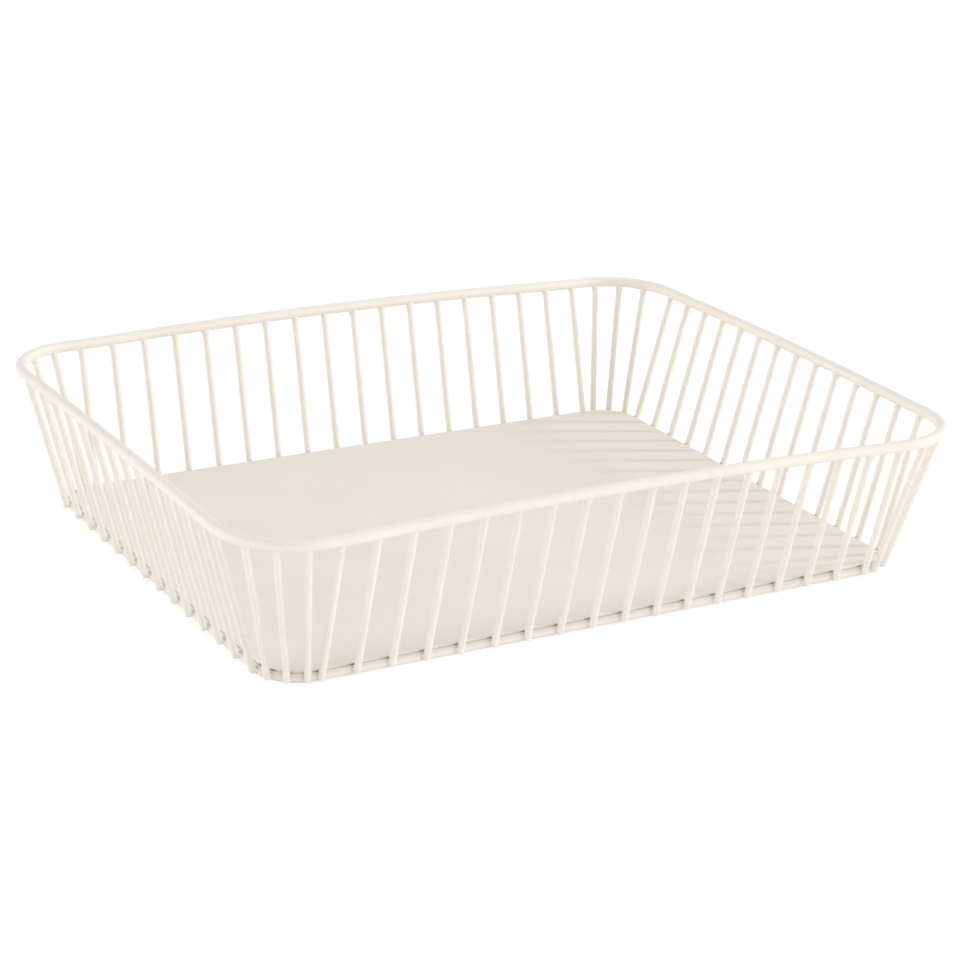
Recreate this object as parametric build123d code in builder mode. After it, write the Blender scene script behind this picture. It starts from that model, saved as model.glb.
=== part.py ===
from build123d import *
import os
from math import asin, atan2, cos, hypot, pi, radians, sin, sqrt

# Shallow welded wire basket for a locker shelf, in millimetres.
# X runs along its length, Y across its width and Z up. The origin is in the middle of the
# footprint, on the surface that the bottom ring stands on.

# Top rim: one closed loop of the thickest wire, level at its corners, each side arched up
rim_length = 350.0
rim_width = 280.0
rim_wire = 5.0
rim_corner_radius = 32.5
rim_corner_top = 69.2
long_side_rise = 2.6
short_side_rise = 1.2
arch_ease_share = 0.15

# Bottom ring: one closed loop of lighter wire, inside the rim's outline, on the shelf
ring_wire = 3.6
ring_inset = 20.0
ring_corner_radius = 18.0

# Base plate: thin sheet whose edge is welded down on the inner shoulder of the ring's wire
plate_thickness = 1.5
plate_seat_angle = 30.0
plate_edge_share = 0.35

# Spokes: straight wires, butted under the rim and lapped against the outside of the ring
spoke_wire = 3.0
spoke_foot_height = 1.0
long_side_spokes = 18
long_side_end_margin = 1.0
short_side_spokes = 14
short_side_end_overhang = 2.5
corner_spoke_shares = (0.15, 0.40, 0.66)
spokes_in_a_node = 2

# Depth to which each resistance weld presses two pieces together
weld_bite = 0.2

# Centre line of the rim: half sizes, half of each straight, and its height at the corners
rim_half_x = (rim_length - rim_wire) / 2
rim_half_y = (rim_width - rim_wire) / 2
rim_straight_x = rim_half_x - rim_corner_radius
rim_straight_y = rim_half_y - rim_corner_radius
rim_height = rim_corner_top - rim_wire / 2

# Centre line of the ring, set in from the rim all the way round
ring_half_x = rim_half_x - ring_inset
ring_half_y = rim_half_y - ring_inset
ring_straight_x = ring_half_x - ring_corner_radius
ring_straight_y = ring_half_y - ring_corner_radius
ring_height = ring_wire / 2

# The plate's edge seats at an angle round the ring's wire, measured from its top
plate_inset = ring_wire / 2 * sin(radians(plate_seat_angle))
plate_bottom = ring_height + ring_wire / 2 * cos(radians(plate_seat_angle)) - weld_bite
plate_length = 2 * (ring_half_x - plate_inset)
plate_width = 2 * (ring_half_y - plate_inset)


with BuildPart() as top_rim:
    # A quarter of the loop, from the crown of a long side to the crown of a short side.
    # Each half side is two arcs that meet in a tangent: a long crown and a short ease.
    with BuildLine() as rim_quarter:
        long_crown = TangentArc(
            (0, rim_half_y, rim_height + long_side_rise),
            (
                rim_straight_x * (1 - arch_ease_share),
                rim_half_y,
                rim_height + long_side_rise * arch_ease_share,
            ),
            tangent=(1, 0, 0),
        )
        long_ease = TangentArc(
            long_crown @ 1, (rim_straight_x, rim_half_y, rim_height), tangent=long_crown % 1
        )
        corner = TangentArc(
            long_ease @ 1, (rim_half_x, rim_straight_y, rim_height), tangent=(1, 0, 0)
        )
        short_ease = TangentArc(
            corner @ 1,
            (
                rim_half_x,
                rim_straight_y * (1 - arch_ease_share),
                rim_height + short_side_rise * arch_ease_share,
            ),
            tangent=(0, -1, 0),
        )
        TangentArc(
            short_ease @ 1,
            (rim_half_x, 0, rim_height + short_side_rise),
            tangent=short_ease % 1,
        )
    # The section starts at the top, so the wire's seam runs clear of the spokes' welds
    with BuildSketch(Plane(rim_quarter.line @ 0, x_dir=(0, 0, 1), z_dir=(1, 0, 0))):
        Circle(rim_wire / 2)
    sweep(path=rim_quarter.wire())
    mirror(about=Plane.YZ)
    mirror(about=Plane.XZ)
top_rim.part.label = "top_rim"
export_step(top_rim.part, "parts/top_rim.step")


with BuildPart() as bottom_ring:
    with BuildLine() as ring_quarter:
        Line((0, ring_half_y, ring_height), (ring_straight_x, ring_half_y, ring_height))
        TangentArc(
            (ring_straight_x, ring_half_y, ring_height),
            (ring_half_x, ring_straight_y, ring_height),
            tangent=(1, 0, 0),
        )
        Line((ring_half_x, ring_straight_y, ring_height), (ring_half_x, 0, ring_height))
    with BuildSketch(Plane(ring_quarter.line @ 0, x_dir=(0, 0, -1), z_dir=(1, 0, 0))):
        Circle(ring_wire / 2)
    sweep(path=ring_quarter.wire())
    mirror(about=Plane.YZ)
    mirror(about=Plane.XZ)
bottom_ring.part.label = "bottom_ring"
export_step(bottom_ring.part, "parts/bottom_ring.step")


with BuildPart() as base_plate:
    with BuildSketch(Plane.XY.offset(plate_bottom)):
        RectangleRounded(plate_length, plate_width, ring_corner_radius - plate_inset)
    extrude(amount=plate_thickness)
    top_edges = base_plate.faces().sort_by(Axis.Z)[-1].edges()
    fillet(top_edges, plate_thickness * plate_edge_share)
    # The weld leaves the ring's wire pressed a little way into the plate's lower edge
    add(bottom_ring.part, mode=Mode.SUBTRACT)
base_plate.part.label = "base_plate"
export_step(base_plate.part, "parts/base_plate.step")


def arch_height(place, half_straight, rise):
    """Height of an arched side above the corners, at a distance from its middle."""
    reach = (half_straight**2 + rise**2) / (2 * rise)
    crown_radius = reach * (1 - arch_ease_share)
    ease_radius = reach * arch_ease_share
    if abs(place) <= half_straight * (1 - arch_ease_share):
        return rise - crown_radius + sqrt(crown_radius**2 - place**2)
    from_corner = max(half_straight - abs(place), 0)
    return ease_radius - sqrt(ease_radius**2 - from_corner**2)


def spoke_foot(top, ring_point, outward):
    """Lower end of the axis of a spoke that laps the outside of the ring at a point."""
    reach = ring_wire / 2 + spoke_wire / 2 - weld_bite
    span = top - ring_point
    out = span.dot(outward)
    lean = atan2(out, span.Z) - asin(reach / hypot(out, span.Z))
    touch = ring_point + outward * (reach * cos(lean)) + Vector(0, 0, reach * sin(lean))
    upwards = (top - touch).normalized()
    foot_height = spoke_foot_height + spoke_wire / 2 * sqrt(1 - upwards.Z**2)
    return top - upwards * ((top.Z - foot_height) / upwards.Z)


def curved_in(place, straight, corner_radius):
    """How far a loop has turned in from its side, at a place that may lie on its corner."""
    past = max(abs(place) - straight, 0)
    return corner_radius - sqrt(corner_radius**2 - past**2)


def side_spokes(count, last, along, across, rim_side, ring_side, rise):
    """Axes of the spokes of one side, evenly pitched between its two end spokes.

    Each also has the direction in which the rim's wire runs over the spoke.
    """
    rim_out, rim_straight = rim_side
    ring_out, ring_straight = ring_side
    axes = []
    for index in range(count):
        place = -last + 2 * last * index / (count - 1)
        rim_line = rim_out - curved_in(place, rim_straight, rim_corner_radius)
        ring_line = ring_out - curved_in(place, ring_straight, ring_corner_radius)
        before = arch_height(place - spoke_wire / 2, rim_straight, rise)
        after = arch_height(place + spoke_wire / 2, rim_straight, rise)
        height = rim_height + arch_height(place, rim_straight, rise)
        top = along * place + across * rim_line + Vector(0, 0, height)
        ring_point = along * place + across * ring_line + Vector(0, 0, ring_height)
        foot = spoke_foot(top, ring_point, across)
        axes.append((top, foot, along, along * spoke_wire + Vector(0, 0, after - before)))
    return axes


def write_side_spokes(label, axes):
    """Make one node of neighbouring side spokes, each its own solid."""
    with BuildPart() as spokes:
        for top, foot, sideways, rim_run in axes:
            with BuildSketch(Plane(foot, x_dir=sideways, z_dir=top - foot)):
                Circle(spoke_wire / 2)
            extrude(amount=(top - foot).length)
            # The top is coped to the rim's wire, which is all but straight over a spoke
            with BuildSketch(Plane(top, x_dir=(0, 0, 1), z_dir=rim_run)):
                Circle(rim_wire / 2)
            extrude(amount=spoke_wire, both=True, mode=Mode.SUBTRACT)
        add(bottom_ring.part, mode=Mode.SUBTRACT)
    spokes.part.label = label
    export_step(spokes.part, f"parts/{label}.step")


def write_corner_spoke(label, side_x, side_y, share):
    """Make one spoke in a corner, a share of the way round it from the long side."""
    angle = pi / 2 * share
    outward = Vector(side_x * sin(angle), side_y * cos(angle), 0)
    sideways = Vector(-outward.Y, outward.X, 0)
    rim_centre = Vector(side_x * rim_straight_x, side_y * rim_straight_y, rim_height)
    ring_centre = Vector(side_x * ring_straight_x, side_y * ring_straight_y, ring_height)
    top = rim_centre + outward * rim_corner_radius
    foot = spoke_foot(top, ring_centre + outward * ring_corner_radius, outward)
    with BuildPart() as spoke:
        with BuildSketch(Plane(foot, x_dir=sideways, z_dir=top - foot)):
            Circle(spoke_wire / 2)
        extrude(amount=(top - foot).length)
        # The top is coped to the bend of the rim
        with BuildSketch(Plane(top, x_dir=(0, 0, 1), z_dir=sideways)):
            Circle(rim_wire / 2)
        revolve(axis=Axis(rim_centre, (0, 0, 1)), mode=Mode.SUBTRACT)
        add(bottom_ring.part, mode=Mode.SUBTRACT)
    spoke.part.label = label
    export_step(spoke.part, f"parts/{label}.step")


along_x = Vector(1, 0, 0)
along_y = Vector(0, 1, 0)
long_last = ring_straight_x - long_side_end_margin
short_last = ring_straight_y + short_side_end_overhang
long_lines = ((rim_half_y, rim_straight_x), (ring_half_y, ring_straight_x), long_side_rise)
short_lines = ((rim_half_x, rim_straight_y), (ring_half_x, ring_straight_y), short_side_rise)
sides = {
    "front_spokes": side_spokes(long_side_spokes, long_last, along_x, -along_y, *long_lines),
    "back_spokes": side_spokes(long_side_spokes, long_last, along_x, along_y, *long_lines),
    "left_spokes": side_spokes(short_side_spokes, short_last, along_y, -along_x, *short_lines),
    "right_spokes": side_spokes(short_side_spokes, short_last, along_y, along_x, *short_lines),
}
for name, axes in sides.items():
    for first in range(0, len(axes), spokes_in_a_node):
        number = first // spokes_in_a_node + 1
        write_side_spokes(f"{name}_{number}", axes[first : first + spokes_in_a_node])

for end_name, side_x in (("left", -1), ("right", 1)):
    for side_name, side_y in (("front", -1), ("back", 1)):
        for number, share in enumerate(corner_spoke_shares, start=1):
            label = f"{side_name}_{end_name}_corner_spoke_{number}"
            write_corner_spoke(label, side_x, side_y, share)
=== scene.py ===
# %% [markdown]
# # A shallow welded wire basket in cream powder coat
#
# The real basket is a jig-welded assembly. A thick wire loop makes the rim, a lighter loop
# makes the ring that it stands on, a thin steel sheet is the floor, and 76 straight wires
# join the two loops. The welded basket is then coated in one go, so every piece has the
# same satin cream finish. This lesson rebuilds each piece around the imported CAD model.

# %% Load the frame
import bmesh
import bpy
from collections import namedtuple
from math import asin, atan2, cos, hypot, pi, radians, sin, sqrt
from mathutils import Matrix, Vector
from mathutils.kdtree import KDTree


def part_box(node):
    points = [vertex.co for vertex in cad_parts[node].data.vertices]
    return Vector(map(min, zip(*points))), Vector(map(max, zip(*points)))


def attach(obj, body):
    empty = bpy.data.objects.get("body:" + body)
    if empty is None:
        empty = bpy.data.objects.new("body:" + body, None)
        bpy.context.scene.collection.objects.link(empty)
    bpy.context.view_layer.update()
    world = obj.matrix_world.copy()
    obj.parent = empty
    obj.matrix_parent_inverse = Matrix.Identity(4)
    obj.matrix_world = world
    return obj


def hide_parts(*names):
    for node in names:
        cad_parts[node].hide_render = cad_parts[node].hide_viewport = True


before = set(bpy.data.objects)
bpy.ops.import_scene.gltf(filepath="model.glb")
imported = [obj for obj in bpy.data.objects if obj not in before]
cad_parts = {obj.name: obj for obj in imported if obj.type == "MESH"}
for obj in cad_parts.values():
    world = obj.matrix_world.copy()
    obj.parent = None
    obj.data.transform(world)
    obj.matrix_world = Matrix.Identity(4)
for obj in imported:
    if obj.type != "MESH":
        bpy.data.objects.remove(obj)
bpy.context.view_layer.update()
print("nodes in the frame:", len(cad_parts))

# %% [markdown]
# ## Sizes
#
# The frame holds the sizes that matter: the boxes of the rim, the ring and the plate. The
# wire gauges and bend radii aren't in a box, so they are named here in millimetres, as a
# wire shop would write them, and turned into metres once. Everything else is worked out
# from these, so a drawn piece can't drift away from the solid that it stands for.

# %% Sizes from the frame and the wire gauges
mm = 0.001
rim_wire = 5.0 * mm
ring_wire = 3.6 * mm
spoke_wire = 3.0 * mm
rim_bend = 32.5 * mm
ring_bend = 18.0 * mm
short_side_rise = 1.2 * mm
arch_ease_share = 0.15
weld_bite = 0.2 * mm
spoke_foot_height = 1.0 * mm

rim_low, rim_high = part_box("top_rim")
ring_low, ring_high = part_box("bottom_ring")
plate_low, plate_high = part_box("base_plate")


def half_sizes(low, high, wire=0.0):
    """Half the length and half the width of a box, to the middle of the wire round it."""
    return ((high.x - low.x - wire) / 2, (high.y - low.y - wire) / 2)


rim_half = half_sizes(rim_low, rim_high, rim_wire)
ring_half = half_sizes(ring_low, ring_high, ring_wire)
rim_straight = (rim_half[0] - rim_bend, rim_half[1] - rim_bend)
ring_straight = (ring_half[0] - ring_bend, ring_half[1] - ring_bend)
rim_height = rim_low.z + rim_wire / 2
ring_height = (ring_low.z + ring_high.z) / 2
long_side_rise = rim_high.z - rim_low.z - rim_wire
rim_rises = (long_side_rise, short_side_rise)
print("rim centre line, half sizes in mm:", [round(half / mm, 2) for half in rim_half])
print("rise of a long side in mm:", round(long_side_rise / mm, 2))

# %% [markdown]
# ## The line of a wire loop
#
# Both loops are rounded rectangles. The rim's sides are also arched upwards a little, as
# the basket's long wires are when they are held at the corners during welding. A side's
# arch is a long crown arc that meets a short ease arc, so the wire leaves each corner
# level. Bezier handles could draw this by eye, but points worked out from the arcs lie
# exactly where the wire bender put them, and the plate's outlines can use them too.

# %% Arch and outline of the loops
def arch(place, straight, rise):
    """Height above the corners at a place along a side, measured from its middle."""
    if rise == 0 or abs(place) >= straight:
        return 0.0
    reach = (straight**2 + rise**2) / (2 * rise)
    crown = reach * (1 - arch_ease_share)
    ease = reach * arch_ease_share
    if abs(place) <= straight * (1 - arch_ease_share):
        return rise - crown + sqrt(crown**2 - place**2)
    return ease - sqrt(ease**2 - (straight - abs(place)) ** 2)


def loop_line(half, bend, height, rises, side_steps, bend_steps):
    """Points round a rounded rectangle whose sides may be arched, anticlockwise."""
    straight = (half[0] - bend, half[1] - bend)
    points = []
    for quarter in range(4):
        turn = Matrix.Rotation(quarter * pi / 2, 3, "Z")
        along, out = (1, 0) if quarter % 2 == 0 else (0, 1)
        for step in range(side_steps):
            place = straight[along] * (2 * step / side_steps - 1)
            rise = arch(place, straight[along], rises[along])
            flat = turn @ Vector((half[out], place, 0))
            points.append(flat + Vector((0, 0, height + rise)))
        for step in range(bend_steps):
            angle = pi / 2 * step / bend_steps
            across_corner = straight[out] + bend * cos(angle)
            along_corner = straight[along] + bend * sin(angle)
            flat = turn @ Vector((across_corner, along_corner, 0))
            points.append(flat + Vector((0, 0, height)))
    return points


# The ring and the plate carry the painted pocket shade, so their steps are about a millimetre
level_sides = (0.0, 0.0)
fine_steps = {"side_steps": 300, "bend_steps": 36}
rim_line = loop_line(rim_half, rim_bend, rim_height, rim_rises, side_steps=40, bend_steps=20)
ring_line = loop_line(ring_half, ring_bend, ring_height, level_sides, **fine_steps)
print("points on the rim and the ring:", len(rim_line), len(ring_line))

# %% [markdown]
# ## Node trees as short expressions
#
# A finish is a sum of several noises, and the radius of a spoke is a sum too. Each Math
# node could be added and linked by hand, but then the formula is lost among the links. The
# class below wraps a socket and turns sums on it into Math nodes, so a tree reads like the
# formula that it is. Materials, the world and Geometry Nodes all share it.

# %% A socket that does arithmetic
class Reading:
    """A value that a node gives, which can be used in sums."""

    def __init__(self, recipe, socket):
        self.recipe = recipe
        self.socket = socket

    def __add__(self, other):
        return self.recipe.math("ADD", self, other)

    def __radd__(self, other):
        return self.recipe.math("ADD", other, self)

    def __sub__(self, other):
        return self.recipe.math("SUBTRACT", self, other)

    def __rsub__(self, other):
        return self.recipe.math("SUBTRACT", other, self)

    def __mul__(self, other):
        return self.recipe.math("MULTIPLY", self, other)

    def __rmul__(self, other):
        return self.recipe.math("MULTIPLY", other, self)

    def __truediv__(self, other):
        return self.recipe.math("DIVIDE", self, other)

    def __rtruediv__(self, other):
        return self.recipe.math("DIVIDE", other, self)

    def at_least(self, other):
        return self.recipe.math("MAXIMUM", self, other)

    def at_most(self, other):
        return self.recipe.math("MINIMUM", self, other)


print("a reading can stand in sums with + - * and /")


# %% A tree under construction
class Recipe:
    """A node tree under construction, for a material, the world or a shape."""

    def __init__(self, tree):
        self.tree = tree
        self.tree.nodes.clear()

    def node(self, kind, settings=None, values=None, output=0):
        """Add a node: its settings first, then the values or links of its sockets."""
        made = self.tree.nodes.new(kind)
        for key, value in (settings or {}).items():
            if key == "stops":
                set_stops(made.color_ramp, value)
            else:
                setattr(made, key, value)
        for key, value in (values or {}).items():
            if isinstance(value, Reading):
                self.tree.links.new(value.socket, made.inputs[key])
            else:
                made.inputs[key].default_value = value
        return Reading(self, made.outputs[output]) if len(made.outputs) else None

    def math(self, operation, first, second=0.0):
        """Add a Math node. A number and a reading may each stand in either place."""
        return self.node("ShaderNodeMath", {"operation": operation}, {0: first, 1: second})

    def mix_colours(self, share, first, second, blend="MIX"):
        """Mix two colours. The Mix node keeps its colours in sockets 6 and 7, and output 2."""
        settings = {"data_type": "RGBA", "blend_type": blend}
        return self.node("ShaderNodeMix", settings, {0: share, 6: first, 7: second}, output=2)

    def smooth_range(self, value, start, end, at_start, at_end):
        """Turn a value between a start and an end into a smooth passage of two others."""
        ends = {"From Min": start, "From Max": end, "To Min": at_start, "To Max": at_end}
        settings = {"interpolation_type": "SMOOTHSTEP"}
        return self.node("ShaderNodeMapRange", settings, {"Value": value, **ends})


def set_stops(ramp, stops):
    """Give the two stops of a colour ramp their places and colours."""
    for element, (place, colour) in zip(ramp.elements, stops):
        element.position = place
        element.color = colour


def open_recipe(owner):
    """Start the node tree of a new material or world."""
    owner.use_nodes = True
    return Recipe(owner.node_tree)


print("sums on sockets are ready")

# %% [markdown]
# ## Cream powder coat
#
# A powder coat is a melted plastic film. Close up it has three things a flat colour lacks:
# a fine orange peel, slow drifts of gloss and tone, and rare specks. A scanned texture
# would need a file and an unwrapped mesh. Noise on Object coordinates needs neither, and
# keeps its real scale on every piece, thick or thin.
#
# The coat is a dielectric: no metallic, a steady index of refraction and a satin roughness.
# The orange peel is about a millimetre across on a real coat and only microns deep, so it
# is a bump, while every larger form is in the meshes. The tone drifts a little towards a
# warmer cream where the film is thick.
#
# Behind each foot, where spoke, ring and plate meet, a tight pocket lies in shade, and that
# shade is painted into the coat as a dull brown. The pieces carry it as an attribute, and
# the coat reads it.

# %% Patterns of the coat
# Lumps in a metre: the drift's are 40 mm across, the clouds' 5 mm and the grit's cells 2.4 mm
drift_per_metre = 26.0
cloud_per_metre = 210.0
grit_per_metre = 420.0

# How thin the film is: mostly the drift, with a band over which the tone changes
drift_share = 0.65
tone_start, tone_end = 0.35, 0.65

# Specks: how far from a cell's grain they begin and end to fade, their tone and its strength
speck_core, speck_edge = 0.055, 0.085
speck_tone = (0.80, 0.76, 0.70, 1.0)
speck_strength = 0.25

# Painted pocket shade: its dark brown, how much of it shows at least, and how much the clouds add
pocket_shade_colour = (0.20, 0.15, 0.095, 1.0)
least_pocket_shade = 0.8
pocket_shade_drift = 0.3

# What the clouds, the specks and the shaded pockets add to the roughness, and the clouds' relief
gloss_drift = 0.10
speck_dullness = 0.1
pocket_dullness = 0.25
cloud_relief = 0.6


def noise(recipe, place, per_metre, detail, roughness=0.5):
    """Soft noise with so many lumps in a metre."""
    values = {"Vector": place, "Scale": per_metre, "Detail": detail, "Roughness": roughness}
    return recipe.node("ShaderNodeTexNoise", values=values)


def specks(recipe, place):
    """One on the rare grains of dust that melted into the film, and zero elsewhere."""
    values = {"Vector": place, "Scale": grit_per_metre}
    grit = recipe.node("ShaderNodeTexVoronoi", {"feature": "F1"}, values)
    return recipe.smooth_range(grit, speck_core, speck_edge, 1.0, 0.0)


print("specks are about", round(2 * speck_core / grit_per_metre / mm, 2), "mm across")


# %% Build the coats
def powder_coat(name, thick, thin, gloss, peel_per_metre, peel_depth):
    """A satin powder coat that drifts between two tones, with shade painted into tight corners."""
    coat = bpy.data.materials.new(name)
    recipe = open_recipe(coat)
    place = recipe.node("ShaderNodeTexCoord", output="Object")
    drift = noise(recipe, place, drift_per_metre, detail=3.0)
    cloud = noise(recipe, place, cloud_per_metre, detail=2.0)
    peel = noise(recipe, place, peel_per_metre, detail=2.0, roughness=0.45)
    speck = specks(recipe, place)
    # How much shade is painted into the pockets behind the feet, stored on the pieces
    pocket_shade = recipe.node("ShaderNodeAttribute", {"attribute_name": "painted_pocket_shade"}, output="Fac")

    # Colour: the two tones, then the specks, then the dull brown shade painted into the pockets
    thinness = drift * drift_share + cloud * (1 - drift_share)
    stops = [(tone_start, thick), (tone_end, thin)]
    tone = recipe.node("ShaderNodeValToRGB", {"stops": stops}, {"Fac": thinness})
    dusty = recipe.mix_colours(speck * speck_strength, tone, speck_tone, blend="MULTIPLY")
    pocket_shaded = recipe.mix_colours(pocket_shade * (least_pocket_shade + cloud * pocket_shade_drift), dusty, pocket_shade_colour)

    # Surface: a gloss that drifts and dulls on specks and in pockets, and the orange peel
    dullness = gloss + (cloud - 0.5) * gloss_drift + speck * speck_dullness + pocket_shade * pocket_dullness
    height = peel + cloud * cloud_relief
    relief = {"Strength": 1.0, "Distance": peel_depth, "Height": height}
    bump = recipe.node("ShaderNodeBump", values=relief)
    surface = recipe.node(
        "ShaderNodeBsdfPrincipled",
        values={"Base Color": pocket_shaded, "Roughness": dullness, "Normal": bump, "IOR": 1.5},
    )
    recipe.node("ShaderNodeOutputMaterial", values={"Surface": surface})
    return coat


wire_coat = powder_coat(
    "wire_coat",
    thick=(0.820, 0.764, 0.692, 1.0),
    thin=(0.845, 0.798, 0.730, 1.0),
    gloss=0.40,
    peel_per_metre=900.0,
    peel_depth=0.03 * mm,
)
sheet_coat = powder_coat(
    "sheet_coat",
    thick=(0.820, 0.762, 0.690, 1.0),
    thin=(0.838, 0.788, 0.718, 1.0),
    gloss=0.50,
    peel_per_metre=700.0,
    peel_depth=0.02 * mm,
)
print("materials:", wire_coat.name, sheet_coat.name)

# %% [markdown]
# ## Geometry Nodes for everything made of wire
#
# All the wire in this basket is a line with a round section, so one kind of tree can draw
# it. The line is a mesh of joined edges. The tree turns it into curves and sweeps a circle
# along them, scaled by a radius that may change on the way. Cylinders could be placed one
# by one, but a tree draws a whole row at once, and its named inputs keep the wire gauge in
# one place.

# %% Helpers for geometry trees
def new_tree(name, inputs):
    """Start a geometry tree with named inputs, and give the readings of those inputs."""
    tree = bpy.data.node_groups.new(name, "GeometryNodeTree")
    tree.interface.new_socket("Geometry", in_out="INPUT", socket_type="NodeSocketGeometry")
    for label, kind, value in inputs:
        socket = tree.interface.new_socket(label, in_out="INPUT", socket_type=kind)
        if value is not None:
            socket.default_value = value
    tree.interface.new_socket("Geometry", in_out="OUTPUT", socket_type="NodeSocketGeometry")
    recipe = Recipe(tree)
    sockets = tree.nodes.new("NodeGroupInput").outputs
    return recipe, {socket.name: Reading(recipe, socket) for socket in sockets}


def sweep(recipe, given, radius):
    """Sweep a round wire along the lines of the given mesh, and close its ends if it has any."""
    line = recipe.node("GeometryNodeMeshToCurve", values={"Mesh": given["Geometry"]})
    circle = {"Resolution": given["Sides"], "Radius": 1.0}
    section = recipe.node("GeometryNodeCurvePrimitiveCircle", values=circle)
    values = {"Curve": line, "Profile Curve": section, "Scale": radius, "Fill Caps": True}
    return recipe.node("GeometryNodeCurveToMesh", values=values)


def random_share(recipe, least, most, values):
    """A random float. Its limits are the node's sockets 2 and 3, and its answer is output 1."""
    limits = {2: least, 3: most, **values}
    return recipe.node("FunctionNodeRandomValue", {"data_type": "FLOAT"}, limits, output=1)


def finish_tree(recipe, geometry, given):
    """End a tree as every tree here ends: real mesh, smooth shading and its material."""
    real = recipe.node("GeometryNodeRealizeInstances", values={"Geometry": geometry})
    smooth = recipe.node("GeometryNodeSetShadeSmooth", values={"Geometry": real})
    values = {"Geometry": smooth, "Material": given["Coat"]}
    coated = recipe.node("GeometryNodeSetMaterial", values=values)
    recipe.node("NodeGroupOutput", values={"Geometry": coated})
    return recipe.tree


print("tree helpers are ready")

# %% [markdown]
# ## From lines to a finished piece
#
# A piece starts as a mesh of edges and ends as a plain mesh that faces outwards, with no
# modifier left on it. A live modifier would look the same here, but an export drops
# instances and reads the mesh alone. The piece stays at the origin, with its place in its
# mesh, so its patterns keep their scale and lie still.

# %% Helpers for pieces
def add_object(name, data):
    """Put a new object in the scene, at the origin."""
    made = bpy.data.objects.new(name, data)
    bpy.context.scene.collection.objects.link(made)
    return made


def line_object(name, lines, closed=False):
    """A mesh of joined edges, one chain for each line of points."""
    mesh = bpy.data.meshes.new(name)
    points, edges = [], []
    for line in lines:
        start = len(points)
        points.extend(line)
        edges.extend((start + step, start + step + 1) for step in range(len(line) - 1))
        if closed:
            edges.append((len(points) - 1, start))
    mesh.from_pydata(points, edges, [])
    return add_object(name, mesh)


def run_tree(made, tree, values):
    """Run a tree on an object with named inputs, and leave a plain mesh facing outwards."""
    modifier = made.modifiers.new(tree.name, "NODES")
    modifier.node_group = tree
    for item in tree.interface.items_tree:
        if item.item_type == "SOCKET" and item.in_out == "INPUT" and item.name in values:
            modifier[item.identifier] = values[item.name]
    graph = bpy.context.evaluated_depsgraph_get()
    mesh = bpy.data.meshes.new_from_object(made.evaluated_get(graph), depsgraph=graph)
    made.modifiers.remove(modifier)
    shape = bmesh.new()
    shape.from_mesh(mesh)
    if shape.calc_volume(signed=True) < 0:
        bmesh.ops.reverse_faces(shape, faces=shape.faces)
        shape.to_mesh(mesh)
    volume = shape.calc_volume(signed=True)
    shape.free()
    made.data = mesh
    mesh.name = made.name
    print(f"{made.name}: {len(mesh.polygons)} faces, {volume / mm**3:.0f} cubic mm")
    return made


def hand_over(piece, nodes):
    """Tie a finished piece to the frame: its body and what it replaces."""
    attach(piece, "root")
    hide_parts(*nodes)


print("piece helpers are ready")

# %% [markdown]
# ## The two loops
#
# A wire bender makes each loop from one length and butt-welds its ends. A loop has the
# same radius all the way round, so its tree is the plainest one, a sweep with one radius.
# The section has enough sides for the rim, which is the nearest and brightest line in the
# picture.

# %% Sweep the rim and the ring
def loop_tree():
    """Sweep a round wire along a closed line."""
    recipe, given = new_tree(
        "wire_loop",
        [
            ("Wire Radius", "NodeSocketFloat", rim_wire / 2),
            ("Sides", "NodeSocketInt", 32),
            ("Coat", "NodeSocketMaterial", None),
        ],
    )
    return finish_tree(recipe, sweep(recipe, given, given["Wire Radius"]), given)


wire_loop = loop_tree()
rim = run_tree(
    line_object("rim_wire_loop", [rim_line], closed=True),
    wire_loop,
    {"Wire Radius": rim_wire / 2, "Sides": 36, "Coat": wire_coat},
)
ring = run_tree(
    line_object("base_ring_loop", [ring_line], closed=True),
    wire_loop,
    {"Wire Radius": ring_wire / 2, "Sides": 28, "Coat": wire_coat},
)
hand_over(rim, ["top_rim"])
hand_over(ring, ["bottom_ring"])

# %% [markdown]
# ## Where each spoke runs
#
# A spoke starts at the rim's centre line and passes outside the ring, pressed a fifth of a
# millimetre into it by the weld. Its lean follows from those two facts, so it is worked
# out rather than typed in. Besides its two ends, a spoke is asked for its weld and for the
# pocket above the ring's shoulder, which later steps need.

# %% How one spoke lies
Spoke = namedtuple("Spoke", "foot top weld pocket away upwards")
up = Vector((0, 0, 1))
lap = ring_wire / 2 + spoke_wire / 2 - weld_bite


def lay_spoke(top, ring_point, outward):
    """A spoke from under the rim to its cut foot, lapping the outside of the ring at a point."""
    span = top - ring_point
    out = span.dot(outward)
    lean = atan2(out, span.z) - asin(lap / hypot(out, span.z))
    away = outward * cos(lean) + up * sin(lean)
    upwards = (span - away * lap).normalized()
    foot_height = spoke_foot_height + spoke_wire / 2 * sqrt(1 - upwards.z**2)
    foot = top - upwards * ((top.z - foot_height) / upwards.z)
    weld = ring_point + away * (ring_wire / 2 - weld_bite / 2)
    pocket = ring_point + up * ring_wire / 2
    return Spoke(foot, top, weld, pocket, away, upwards)


def curved_in(place, straight, bend):
    """How far a loop has turned in from its side at a place."""
    return bend - sqrt(bend**2 - max(abs(place) - straight, 0) ** 2)


print("a spoke's axis passes the ring's centre line at", round(lap / mm, 2), "mm")

# %% [markdown]
# ## Four rows and four fans
#
# The welding jig pitches the side spokes evenly, 18 on a long side and 14 on a short one.
# Three more fan round each corner, square to its bend. One function lays a row and one
# lays a fan, and the sides and corners are only directions given to them.

# %% Lay the rows and the fans
long_side_spokes = 18
long_side_end_margin = 1.0 * mm
short_side_spokes = 14
short_side_end_overhang = 2.5 * mm
corner_spoke_shares = (0.15, 0.40, 0.66)


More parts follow.
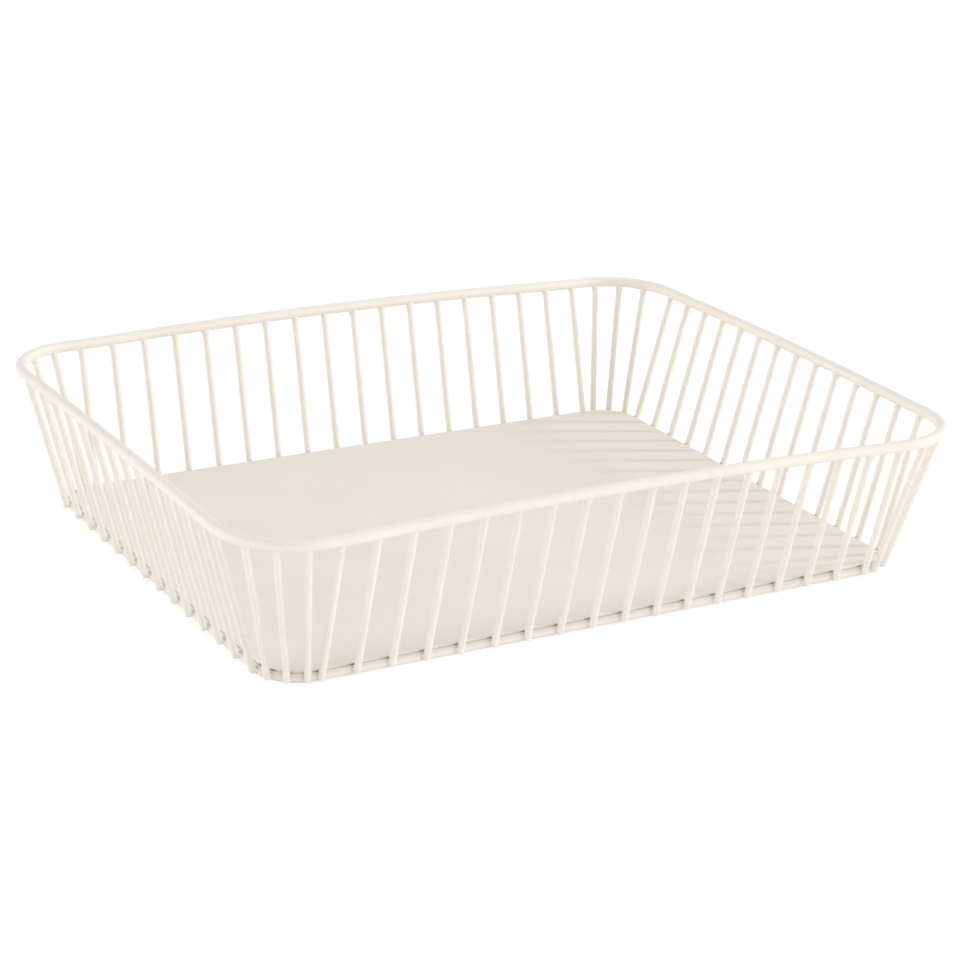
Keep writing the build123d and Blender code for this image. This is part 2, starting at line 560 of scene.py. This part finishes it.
def side_spokes(along, across, axis, count, last):
    """The spokes of one side: a long one, along X, has axis 0 and a short one has axis 1."""
    spokes = []
    for index in range(count):
        place = last * (2 * index / (count - 1) - 1)
        rim_out = rim_half[1 - axis] - curved_in(place, rim_straight[axis], rim_bend)
        ring_out = ring_half[1 - axis] - curved_in(place, ring_straight[axis], ring_bend)
        height = rim_height + arch(place, rim_straight[axis], rim_rises[axis])
        top = along * place + across * rim_out + up * height
        ring_point = along * place + across * ring_out + up * ring_height
        spokes.append(lay_spoke(top, ring_point, across))
    return spokes


def corner_spokes(side_x, side_y):
    """The three spokes that fan round one corner."""
    spokes = []
    for share in corner_spoke_shares:
        angle = pi / 2 * share
        outward = Vector((side_x * sin(angle), side_y * cos(angle), 0))
        rim_centre = Vector((side_x * rim_straight[0], side_y * rim_straight[1], rim_height))
        ring_centre = Vector((side_x * ring_straight[0], side_y * ring_straight[1], ring_height))
        ring_point = ring_centre + outward * ring_bend
        spokes.append(lay_spoke(rim_centre + outward * rim_bend, ring_point, outward))
    return spokes


along_x, along_y = Vector((1, 0, 0)), Vector((0, 1, 0))
# A row's axis, its count, and the place of its last spoke, measured from its middle
long_row = (0, long_side_spokes, ring_straight[0] - long_side_end_margin)
short_row = (1, short_side_spokes, ring_straight[1] + short_side_end_overhang)
rows = {
    "front": side_spokes(along_x, -along_y, *long_row),
    "back": side_spokes(along_x, along_y, *long_row),
    "left": side_spokes(along_y, -along_x, *short_row),
    "right": side_spokes(along_y, along_x, *short_row),
}
fans = {
    "front_left": corner_spokes(-1, -1),
    "front_right": corner_spokes(1, -1),
    "back_left": corner_spokes(-1, 1),
    "back_right": corner_spokes(1, 1),
}
every_spoke = [spoke for row in [*rows.values(), *fans.values()] for spoke in row]
print("spokes:", len(every_spoke))

# %% [markdown]
# ## Spokes with a weld collar and a cut end
#
# Up close a spoke isn't a plain cylinder. At the top the butt weld squeezes out a little
# collar under the rim, and the coat fills the corner to a soft fillet. At the foot the
# shear leaves a flat end whose edge the coat rounds over. Both could be modelled as parts
# of their own, but both are only changes of radius along the wire, so the tree works the
# radius out from the distance to each end.

# %% The radius near each end
cut_rounding = 0.4 * mm
collar_size = 0.28 * mm
collar_height = 1.3 * mm
least_collar, most_collar = 0.4, 1.4


def lost_at_foot(recipe, along, rounding):
    """What the radius loses near the cut: a quarter round of the given size at its edge."""
    into = (rounding - along).at_least(0.0)
    chord = (rounding * rounding - into * into).at_least(0.0)
    return rounding - recipe.math("SQRT", chord)


def swell_at_top(recipe, below, given):
    """What the radius gains towards the rim, a different share of the collar on each spoke."""
    rise = (1.0 - below / given["Collar Height"]).at_least(0.0).at_most(1.0)
    draw = {"ID": recipe.node("GeometryNodeInputIndex"), "Seed": given["Seed"]}
    luck = random_share(recipe, least_collar, most_collar, draw)
    # Read at the spline, the index is the spoke's own, so the whole spoke has one number
    settings = {"domain": "CURVE", "data_type": "FLOAT"}
    luck_of_spoke = recipe.node("GeometryNodeFieldOnDomain", settings, {0: luck})
    return rise * rise * given["Collar Size"] * luck_of_spoke


print("a collar is", least_collar, "to", most_collar, "times its usual size")


# %% The spoke tree
def spoke_tree():
    """Sweep straight wires whose radius swells at the top weld and rounds off at the foot."""
    recipe, given = new_tree(
        "spoke_row",
        [
            ("Wire Radius", "NodeSocketFloat", spoke_wire / 2),
            ("Cut Rounding", "NodeSocketFloat", cut_rounding),
            ("Collar Size", "NodeSocketFloat", collar_size),
            ("Collar Height", "NodeSocketFloat", collar_height),
            ("Hidden Length", "NodeSocketFloat", rim_wire / 2),
            ("Sides", "NodeSocketInt", 20),
            ("Seed", "NodeSocketInt", 7),
            ("Coat", "NodeSocketMaterial", None),
        ],
    )
    along = recipe.node("GeometryNodeSplineParameter", output="Length")
    whole = recipe.node("GeometryNodeSplineLength", output="Length")
    below = whole - given["Hidden Length"] - along
    lost = lost_at_foot(recipe, along, given["Cut Rounding"])
    radius = given["Wire Radius"] - lost + swell_at_top(recipe, below, given)
    return finish_tree(recipe, sweep(recipe, given, radius), given)


spoke_row = spoke_tree()
print("sockets of the spoke tree:", [item.name for item in spoke_row.interface.items_tree])

# %% [markdown]
# ## Rows of spokes
#
# A row is a mesh of edges, one chain for each spoke, with more points near its two ends,
# where the radius changes. The distances are chosen once, and the long plain middle needs
# only a few points. Each row stands in for the CAD nodes of its side, so those nodes are
# hidden.

# %% Points along a spoke
# Distances in mm from a spoke's foot: the rounding, the lap over the ring, then the plain wire
foot_stations = [0, 0.02, 0.06, 0.12, 0.20, 0.30, 0.40]
foot_stations += [1.0, 1.6, 2.2, 2.8, 3.4, 4.0, 4.8, 5.6, 6.8]
foot_stations += [12.0, 24.0]
# Distances in mm from the rim's centre line: the plain wire, the collar, then inside the rim
top_stations = [26.0, 14.0, 6.5, 4.6, 4.2, 3.9, 3.6, 3.3, 3.0, 2.7, 2.4, 1.2]


def spoke_line(spoke):
    """Points along a spoke, from its cut foot to just inside the rim."""
    feet = [spoke.foot + spoke.upwards * station * mm for station in foot_stations]
    tops = [spoke.top - spoke.upwards * station * mm for station in top_stations]
    return feet + tops


print("points along a spoke:", len(spoke_line(every_spoke[0])))


# %% Draw the rows and the corner fans
spokes_in_a_node = 2
spoke_values = {
    "Wire Radius": spoke_wire / 2,
    "Cut Rounding": cut_rounding,
    "Collar Size": collar_size,
    "Collar Height": collar_height,
    "Hidden Length": rim_wire / 2,
    "Sides": 20,
    "Seed": 7,
    "Coat": wire_coat,
}


def draw_spokes(name, spokes, nodes):
    """Draw some spokes as one piece in place of their nodes."""
    lines = [spoke_line(spoke) for spoke in spokes]
    piece = run_tree(line_object(name, lines), spoke_row, spoke_values)
    hand_over(piece, nodes)


for side, spokes in rows.items():
    node_count = len(spokes) // spokes_in_a_node
    nodes = [f"{side}_spokes_{number}" for number in range(1, node_count + 1)]
    draw_spokes(f"{side}_spoke_row", spokes, nodes)
for corner, spokes in fans.items():
    nodes = [f"{corner}_corner_spoke_{number}" for number in range(1, len(spokes) + 1)]
    draw_spokes(f"{corner}_corner_spokes", spokes, nodes)

# %% [markdown]
# ## Cross welds at the ring
#
# Where a spoke laps the ring, the welder's electrodes press the wires together and a
# little metal wells out on both sides. Under the coat it is a small soft bridge that closes
# the crevice between the two wires. A remesh of both wires could melt them together, but
# would cost far more faces and lose the clean wire. Each bridge is a flattened ball
# instead, set by a tree that scatters instances on the weld points and turns them to the
# spokes.

# %% The weld tree
def weld_tree():
    """Put a flattened ball on each point, turned by the point's own attribute."""
    recipe, given = new_tree(
        "cross_welds",
        [
            ("Size", "NodeSocketVector", (mm, mm, mm)),
            ("Variation", "NodeSocketFloat", 0.15),
            ("Seed", "NodeSocketInt", 3),
            ("Coat", "NodeSocketMaterial", None),
        ],
    )
    unit_ball = {"Segments": 20, "Rings": 12, "Radius": 1.0}
    ball = recipe.node("GeometryNodeMeshUVSphere", values=unit_ball)
    settings = {"data_type": "FLOAT_VECTOR"}
    turn = recipe.node("GeometryNodeInputNamedAttribute", settings, {"Name": "turn"})
    least, most = 1.0 - given["Variation"], 1.0 + given["Variation"]
    luck = random_share(recipe, least, most, {"Seed": given["Seed"]})
    scaled = {0: given["Size"], "Scale": luck}
    size = recipe.node("ShaderNodeVectorMath", {"operation": "SCALE"}, scaled)
    values = {"Points": given["Geometry"], "Instance": ball, "Rotation": turn, "Scale": size}
    spread = recipe.node("GeometryNodeInstanceOnPoints", values=values)
    return finish_tree(recipe, spread, given)


cross_weld_tree = weld_tree()
print("sockets of the weld tree:", [item.name for item in cross_weld_tree.interface.items_tree])


# %% Weld every spoke to the ring
# Half sizes of a bridge: along the ring, out from it, and along the spoke
weld_size = (1.85 * mm, 0.85 * mm, 1.25 * mm)


def weld_points(name, spokes):
    """A point at each cross weld, holding the turn that lays a ball between the wires."""
    made = line_object(name, [[spoke.weld] for spoke in spokes])
    turns = made.data.attributes.new("turn", "FLOAT_VECTOR", "POINT")
    for index, spoke in enumerate(spokes):
        side = spoke.upwards.cross(spoke.away).normalized()
        axes = Matrix((side, spoke.away, spoke.upwards)).transposed()
        turns.data[index].vector = axes.to_euler()
    return made


welds = run_tree(
    weld_points("cross_welds", every_spoke),
    cross_weld_tree,
    {"Size": weld_size, "Variation": 0.12, "Seed": 3, "Coat": wire_coat},
)
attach(welds, "root")

# %% [markdown]
# ## The base plate
#
# The floor of the basket is a flat sheet, 1.5 mm thick, with its corners rounded like the
# ring's. Its edge is what the camera sees best, a thin bright line above the ring, so the
# edge is modelled. A cube with a bevel would do for the edge, but its large flat faces
# would smear the painted pocket shade over the whole sheet. So the sheet is a stack of
# outlines: some borders on each face, and between them the edge, which rolls over at the
# top and slightly at the bottom.

# %% Outlines round the plate's edge
plate_half = half_sizes(plate_low, plate_high)
plate_bend = ring_bend - (ring_half[0] - plate_half[0])
top_roll = 0.52 * mm
bottom_roll = 0.42 * mm
roll_steps = 5
borders = [8.0 * mm, 4.0 * mm, 2.6 * mm, 1.6 * mm, 1.0 * mm]


def edge_profile():
    """Inset and height of each outline, from the underside round the edge to the top."""
    angles = [pi / 2 * step / roll_steps for step in range(roll_steps + 1)]
    profile = [(inset, plate_low.z) for inset in borders]
    for angle in angles:
        inset = bottom_roll * (1 - sin(angle))
        profile.append((inset, plate_low.z + bottom_roll * (1 - cos(angle))))
    for angle in angles:
        inset = top_roll * (1 - cos(angle))
        profile.append((inset, plate_high.z - top_roll * (1 - sin(angle))))
    return profile + [(inset, plate_high.z) for inset in reversed(borders)]


print("outlines round the plate:", len(edge_profile()))


# %% Skin the plate
def build_plate():
    """Skin the outlines into a closed sheet with one large flat face on each side."""
    shape = bmesh.new()
    loops = []
    for inset, height in edge_profile():
        half = (plate_half[0] - inset, plate_half[1] - inset)
        line = loop_line(half, plate_bend - inset, height, level_sides, **fine_steps)
        loops.append([shape.verts.new(point) for point in line])
    for lower, upper in zip(loops, loops[1:]):
        count = len(lower)
        for index in range(count):
            after = (index + 1) % count
            shape.faces.new((lower[index], lower[after], upper[after], upper[index]))
    shape.faces.new(loops[-1])
    shape.faces.new(list(reversed(loops[0])))
    bmesh.ops.recalc_face_normals(shape, faces=shape.faces)
    for face in shape.faces:
        face.smooth = len(face.verts) == 4
    mesh = bpy.data.meshes.new("base_sheet")
    shape.to_mesh(mesh)
    shape.free()
    mesh.materials.append(sheet_coat)
    return add_object("base_sheet", mesh)


plate = build_plate()
hand_over(plate, ["base_plate"])
print("plate faces:", len(plate.data.polygons))

# %% [markdown]
# ## Shade painted into the pockets
#
# Each foot hides a small pocket between the spoke, the ring's shoulder and the plate's
# edge. An ambient occlusion node could find it, but would darken every other crevice too.
# Instead, every vertex near a pocket is given a value that falls off with its distance,
# and the coat turns that value into a painted dark brown shade.

# %% Mark the pockets
# How the painted pocket shade falls off: full in the core, gone past the fade, shorter above the
# open pocket
shade_core = 0.6 * mm
shade_fade = 2.5 * mm
opening_stretch = 2.6
facing_up = 0.55
share_on_top = 0.25


def paint_pocket_shade(piece, pockets):
    """Store how much shade is painted at each vertex: one in a pocket's core, none past the fade.

    A pocket is open at the top, so above it the painted shade fades faster than to its sides,
    and a face that looks up keeps only a share of it, as it is more open to the light.
    """
    values = piece.data.attributes.new("painted_pocket_shade", "FLOAT", "POINT")
    marked = 0
    for index, vertex in enumerate(piece.data.vertices):
        offset = vertex.co - pockets.find(vertex.co)[0]
        if offset.z > 0:
            offset.z *= opening_stretch
        share = min(max((shade_fade - offset.length) / (shade_fade - shade_core), 0), 1)
        openness = max(vertex.normal.z - facing_up, 0) / (1 - facing_up)
        kept = 1 - (1 - share_on_top) * openness
        values.data[index].value = share * share * (3 - 2 * share) * kept
        marked += share > 0
    print(f"{piece.name}: {marked} vertices near pockets")


pockets = KDTree(len(every_spoke))
for index, spoke in enumerate(every_spoke):
    pockets.insert(spoke.pocket, index)
pockets.balance()
# Paint the pocket shade into the ring, the plate and the welds
for piece in [ring, plate, welds]:
    paint_pocket_shade(piece, pockets)

# %% [markdown]
# ## Floor
#
# The basket stands on a white sweep. More light would turn the floor white, but would burn
# out the cream wires first, so the floor is white to the camera alone. Near the basket a
# share of its real shading is let through, so it keeps the shadow, and that share fades
# out with distance. To everything else it is a painted sweep that also glows faintly, as
# one lit from all round does, which lifts the underside of the ring.

# %% Floor
floor_reach = 3.0
floor_paint = (0.88, 0.88, 0.88, 1.0)
floor_glow = 0.13
# A little over one, so that the mixed-in shading doesn't grey the floor beside the shadow
seen_glow = 1.06
white = (1.0, 1.0, 1.0, 1.0)


def white_floor(name, shade_share, fade_start, fade_end):
    """A floor that reads white, in which a share of the real shading shows near the middle."""
    material = bpy.data.materials.new(name)
    recipe = open_recipe(material)
    place = recipe.node("ShaderNodeTexCoord", output="Object")
    length = {"operation": "LENGTH"}
    distance = recipe.node("ShaderNodeVectorMath", length, {0: place}, output="Value")
    share = recipe.smooth_range(distance, fade_start, fade_end, shade_share, 0.0)
    seen = recipe.node("ShaderNodeLightPath", output="Is Camera Ray")
    paint = recipe.node("ShaderNodeBsdfDiffuse", values={"Color": floor_paint})
    glow = recipe.node("ShaderNodeEmission", values={"Color": white, "Strength": floor_glow})
    real = recipe.node("ShaderNodeAddShader", values={0: paint, 1: glow})
    shown = recipe.node("ShaderNodeEmission", values={"Color": white, "Strength": seen_glow})
    both = recipe.node("ShaderNodeMixShader", values={0: seen * (1 - share), 1: real, 2: shown})
    recipe.node("ShaderNodeOutputMaterial", values={"Surface": both})
    return material


floor_mesh = bpy.data.meshes.new("floor")
corners = [(-1, -1), (1, -1), (1, 1), (-1, 1)]
points = [(x * floor_reach, y * floor_reach, 0) for x, y in corners]
floor_mesh.from_pydata(points, [], [(0, 1, 2, 3)])
floor_coat = white_floor("white_floor", shade_share=0.30, fade_start=0.20, fade_end=0.36)
floor_mesh.materials.append(floor_coat)
floor = add_object("floor", floor_mesh)
print("floor:", 2 * floor_reach, "m wide, with the material", floor_coat.name)

# %% [markdown]
# ## Light
#
# The basket is lit by a light tent, a world whose glow depends on the direction. Two low
# panels, behind it on the left and in front on the right, are the brightest, so every wire
# has pale edges and a quieter middle, and the corner nearest the camera stays dull. A panel
# high at the back right lights the plate. Area lights could stand in for the panels, but a
# world has no edges to mirror in the satin coat and throws no hard shadow. Only the narrow,
# tall softbox on the right is a lamp, because it has to draw the pale stripes of shadow
# that the right-hand spokes throw across the plate.

# %% A tent with glowing panels
def compass(azimuth, elevation):
    """A unit vector towards an azimuth, counted from X towards Y, and an elevation."""
    angle, height = radians(azimuth), radians(elevation)
    return Vector((cos(angle) * cos(height), sin(angle) * cos(height), sin(height)))


def light_tent(even, panels, sharpness):
    """A world that is white to the camera and lights the basket from soft glowing panels."""
    world = bpy.data.worlds.new("light_tent")
    bpy.context.scene.world = world
    recipe = open_recipe(world)
    way = recipe.node("ShaderNodeTexCoord", output="Generated")
    strength = even
    for azimuth, elevation, glow in panels:
        values = {0: way, 1: compass(azimuth, elevation)}
        dot = {"operation": "DOT_PRODUCT"}
        facing = recipe.node("ShaderNodeVectorMath", dot, values, output="Value")
        strength = strength + glow * recipe.math("EXPONENT", (facing - 1.0) * sharpness)
    seen = recipe.node("ShaderNodeLightPath", output="Is Camera Ray")
    plain = recipe.node("ShaderNodeBackground", values={"Color": white, "Strength": 1.0})
    grey = recipe.node("ShaderNodeCombineColor", values={0: strength, 1: strength, 2: strength})
    tent = recipe.node("ShaderNodeBackground", values={"Color": grey, "Strength": 1.0})
    both = recipe.node("ShaderNodeMixShader", values={0: seen, 1: tent, 2: plain})
    recipe.node("ShaderNodeOutputWorld", values={"Surface": both})


# Azimuth, elevation and glow of each panel of the tent
panels = [
    (30, 42, 0.86),
    (30, 6, 0.15),
    (90, 6, 0.50),
    (150, 6, 2.80),
    (190, 12, 0.45),
    (240, 6, 0.65),
    (300, 6, 2.50),
    (60, 70, 0.30),
]
light_tent(even=0.365, panels=panels, sharpness=8.0)
print("panels in the tent:", len(panels))


# %% A softbox for the stripes
def softbox(name, azimuth, elevation, distance, size, watts, colour):
    """An area light that looks at the middle of the basket from a compass angle."""
    light = bpy.data.lights.new(name, "AREA")
    light.shape = "RECTANGLE"
    light.size, light.size_y = size
    light.energy = watts
    light.color = colour
    made = add_object(name, light)
    out = compass(azimuth, elevation)
    made.location = out * distance
    made.rotation_mode = "QUATERNION"
    made.rotation_quaternion = out.to_track_quat("Z", "Y")
    return made


right_softbox = softbox(
    "right_softbox",
    azimuth=-18,
    elevation=31,
    distance=3.5,
    size=(0.17, 0.98),
    watts=28.8,
    colour=(1.0, 0.99, 0.975),
)
print("softbox at, in m:", [round(part, 2) for part in right_softbox.location])

# %% [markdown]
# ## Camera
#
# The photograph was solved as a pinhole view: the rim, ring and spoke ends of the CAD
# model were projected and the camera moved until they fell on the picture. A camera set by
# eye would never bring 76 wires in line. The picture is 960 pixels square, so a focal
# length in pixels turns into one in millimetres on a sensor 36 mm wide.

# %% Place the camera
picture = 960
sensor_width = 36.0
camera_place = Vector((-556.7, -978.1, 435.0)) * mm
camera_yaw = radians(30.20)
camera_pitch = radians(20.05)
camera_roll = radians(2.09)
focal_pixels = 2641.9
centre_pixel = (494.96, 483.17)

level = Vector((cos(camera_yaw), -sin(camera_yaw), 0))
ahead = Vector((sin(camera_yaw), cos(camera_yaw), 0))
forward = ahead * cos(camera_pitch) - up * sin(camera_pitch)
upright = level.cross(forward)
right = level * cos(camera_roll) + upright * sin(camera_roll)
top_side = upright * cos(camera_roll) - level * sin(camera_roll)
turn = Matrix((right, top_side, -forward)).transposed().to_4x4()

lens = bpy.data.cameras.new("photo_view")
lens.sensor_width = sensor_width
lens.lens = focal_pixels / picture * sensor_width
lens.shift_x = (picture / 2 - centre_pixel[0]) / picture
lens.shift_y = (centre_pixel[1] - picture / 2) / picture
lens.clip_start = 0.05
lens.clip_end = 20.0
camera = add_object("photo_view", lens)
camera.matrix_world = Matrix.Translation(camera_place) @ turn
bpy.context.scene.camera = camera
bpy.context.scene.view_settings.view_transform = "Standard"
print("lens in mm:", round(lens.lens, 2), "shift:", round(lens.shift_x, 4), round(lens.shift_y, 4))
